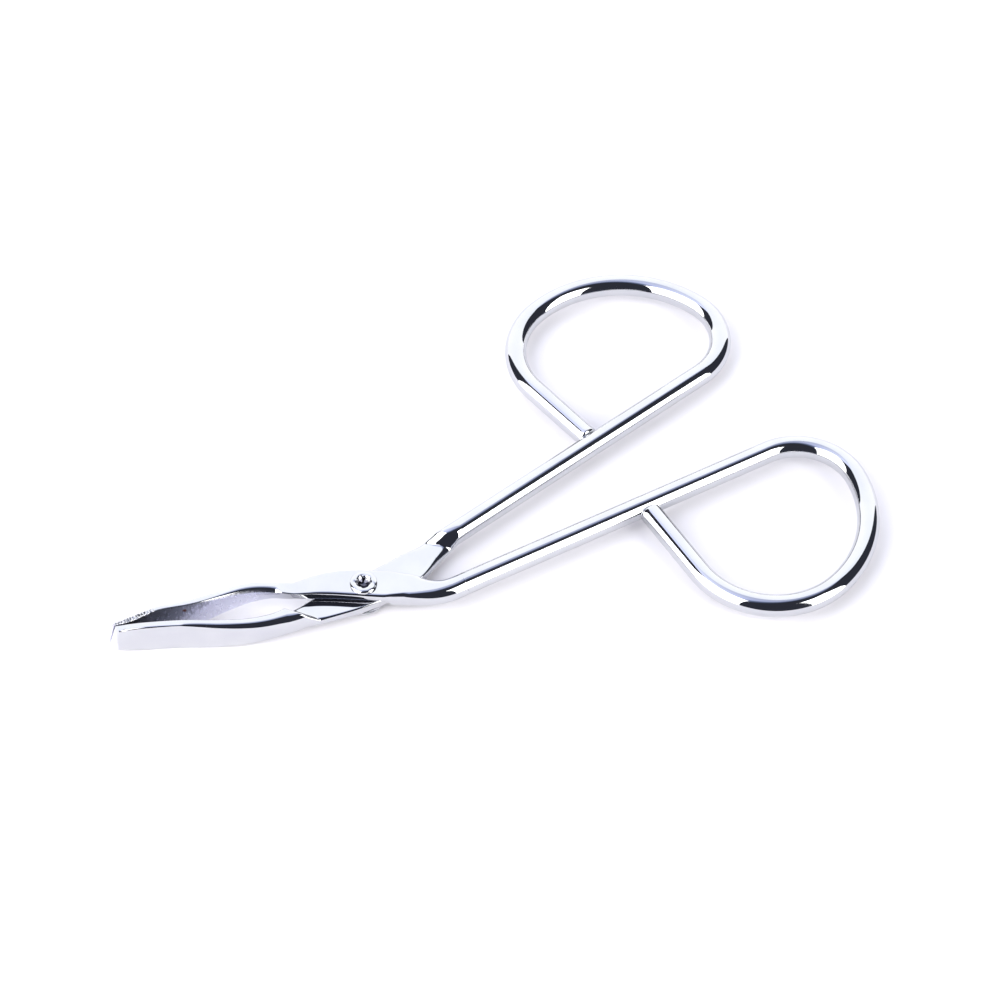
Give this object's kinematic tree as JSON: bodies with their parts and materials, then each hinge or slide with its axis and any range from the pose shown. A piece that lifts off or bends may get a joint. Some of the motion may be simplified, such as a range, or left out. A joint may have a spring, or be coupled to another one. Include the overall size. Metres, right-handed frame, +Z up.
{
  "type": "scissor-handled tweezers",
  "caption": "Small chromed tweezers worked like scissors: flat bowed jaws, half-lapped levers on a rivet and closed wire finger loops.",
  "frame": {"origin": "under the middle of the whole tool's bounding box, on the surface that it lies on, with the jaws closed", "axes": "+X from the jaw tips towards the finger loops, +Z up along the rivet's axis, towards the rolled rim of the rivet"},
  "size_m": [0.086, 0.0518, 0.0042],
  "materials": {
    "chrome_wire": "bright chrome plate over polished steel wire",
    "chrome_rivet": "bright chrome plate over an upset rivet"
  },
  "bodies": {
    "lower_lever": {"lower_lever": "chrome_wire", "pivot_rivet": "chrome_rivet"},
    "upper_lever": {"upper_lever": "chrome_wire"}
  },
  "joints": [
    {"name": "rivet_pivot", "type": "hinge", "parent": "lower_lever", "child": "upper_lever", "pos_m": [-0.01479, -0.01274, 0.0021], "axis": [0, 0, -1], "range_deg": [0, 55]}
  ]
}
